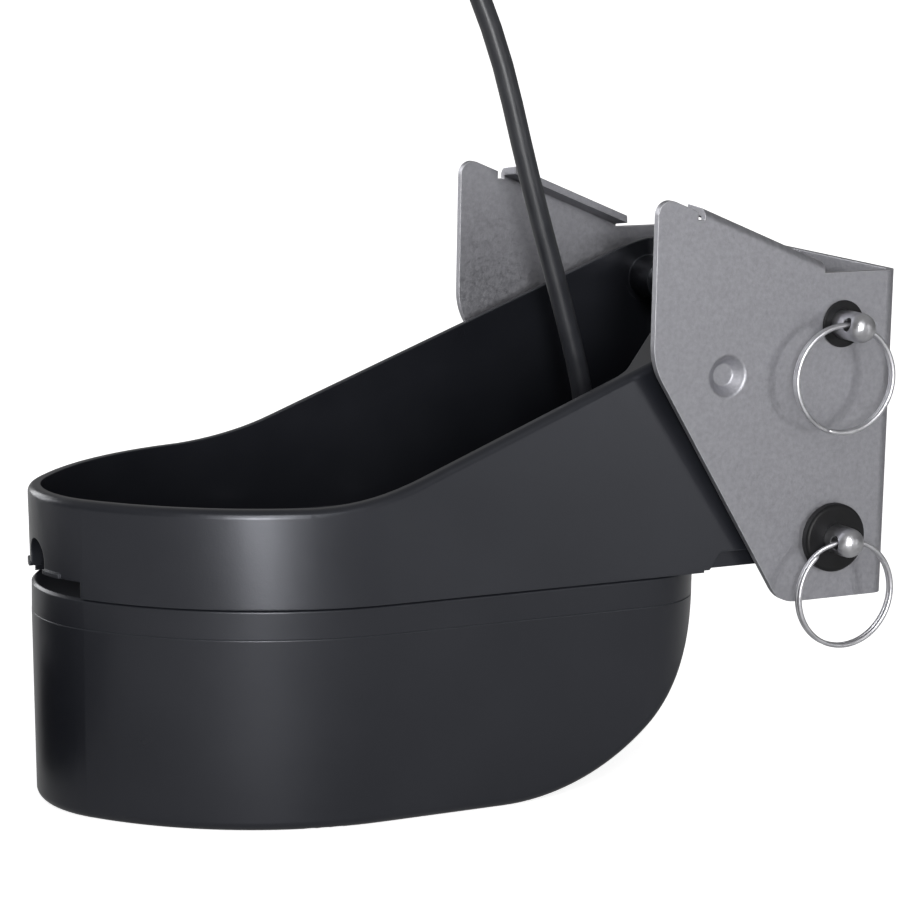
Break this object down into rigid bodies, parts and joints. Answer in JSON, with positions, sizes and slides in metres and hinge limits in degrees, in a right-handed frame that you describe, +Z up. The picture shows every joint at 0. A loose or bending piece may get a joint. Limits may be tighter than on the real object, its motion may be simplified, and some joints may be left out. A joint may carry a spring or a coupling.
{
  "type": "sonar transducer",
  "caption": "Transom-mount sonar transducer: potted boat-shaped housing under an open fairing, held by two clevis pins in a folded steel bracket, with a coiled cable.",
  "frame": {"origin": "centre of the flat sounding face, on the housing's centre plane, below the middle of the plan between tip and bow", "axes": "+X forward, towards the transom plate; +Y towards the pin heads; +Z up from the sounding face"},
  "size_m": [0.438, 0.1936, 0.3226],
  "materials": {
    "housing_black": "matte moulded plastic",
    "lid_black": "matte moulded plastic",
    "bracket_steel": "satin stainless sheet",
    "pin_steel": "bright stainless",
    "ring_steel": "bright spring wire",
    "bushing_black": "matte nylon",
    "cable_black": "satin jacket",
    "gland_black": "matte nylon",
    "seal_black": "matte rubber",
    "screw_steel": "stainless",
    "plug_black": "matte moulded plastic",
    "contact_brass": "plated contact",
    "sensor_steel": "polished button",
    "ceramic_tan": "fired ceramic",
    "backing_cork": "cork sheet",
    "matching_grey": "filled epoxy",
    "potting_amber": "cast resin",
    "board_green": "circuit board",
    "core_grey": "ferrite core",
    "lead_red": "insulated wire",
    "strap_black": "woven strap"
  },
  "bodies": {
    "transducer": {"lower_housing": "housing_black", "housing_lid": "lid_black", "upper_fairing": "housing_black", "mounting_bracket": "bracket_steel", "matching_layer": "matching_grey", "ceramic_elements": "ceramic_tan", "element_backing": "backing_cork", "potting_compound": "potting_amber", "terminal_board": "board_green", "matching_transformer": "core_grey", "signal_leads": "lead_red", "temperature_sensor": "sensor_steel", "lid_screws": "screw_steel", "gland_seal": "seal_black", "cable_gland_body": "gland_black", "gland_nut": "gland_black", "strain_relief": "seal_black", "upper_bushings": "bushing_black", "lower_bushings": "bushing_black", "cable_gland_end": "cable_black", "cable": "cable_black", "cable_coil": "cable_black", "cable_tail": "cable_black", "coil_ties": "strap_black", "connector_body": "plug_black", "connector_coupling": "plug_black", "connector_pins": "contact_brass", "connector_boot": "seal_black"},
    "upper_clevis_pin": {"upper_pin": "pin_steel"},
    "upper_split_ring": {"upper_ring": "ring_steel"},
    "lower_clevis_pin": {"lower_pin": "pin_steel"},
    "lower_split_ring": {"lower_ring": "ring_steel"}
  },
  "joints": [
    {"name": "upper_pin_turn", "type": "hinge", "parent": "transducer", "child": "upper_clevis_pin", "pos_m": [0.148, 0, 0.1486], "axis": [0, 1, 0], "continuous": true},
    {"name": "upper_ring_swing", "type": "hinge", "parent": "upper_clevis_pin", "child": "upper_split_ring", "pos_m": [0.148, -0.0769, 0.1486], "axis": [0.9659, 0, -0.2588], "range_deg": [-188, 8]},
    {"name": "lower_pin_turn", "type": "hinge", "parent": "transducer", "child": "lower_clevis_pin", "pos_m": [0.1471, 0, 0.079], "axis": [0, 1, 0], "continuous": true},
    {"name": "lower_ring_swing", "type": "hinge", "parent": "lower_clevis_pin", "child": "lower_split_ring", "pos_m": [0.1471, -0.0769, 0.079], "axis": [1, 0, 0], "range_deg": [-183, 3]}
  ]
}
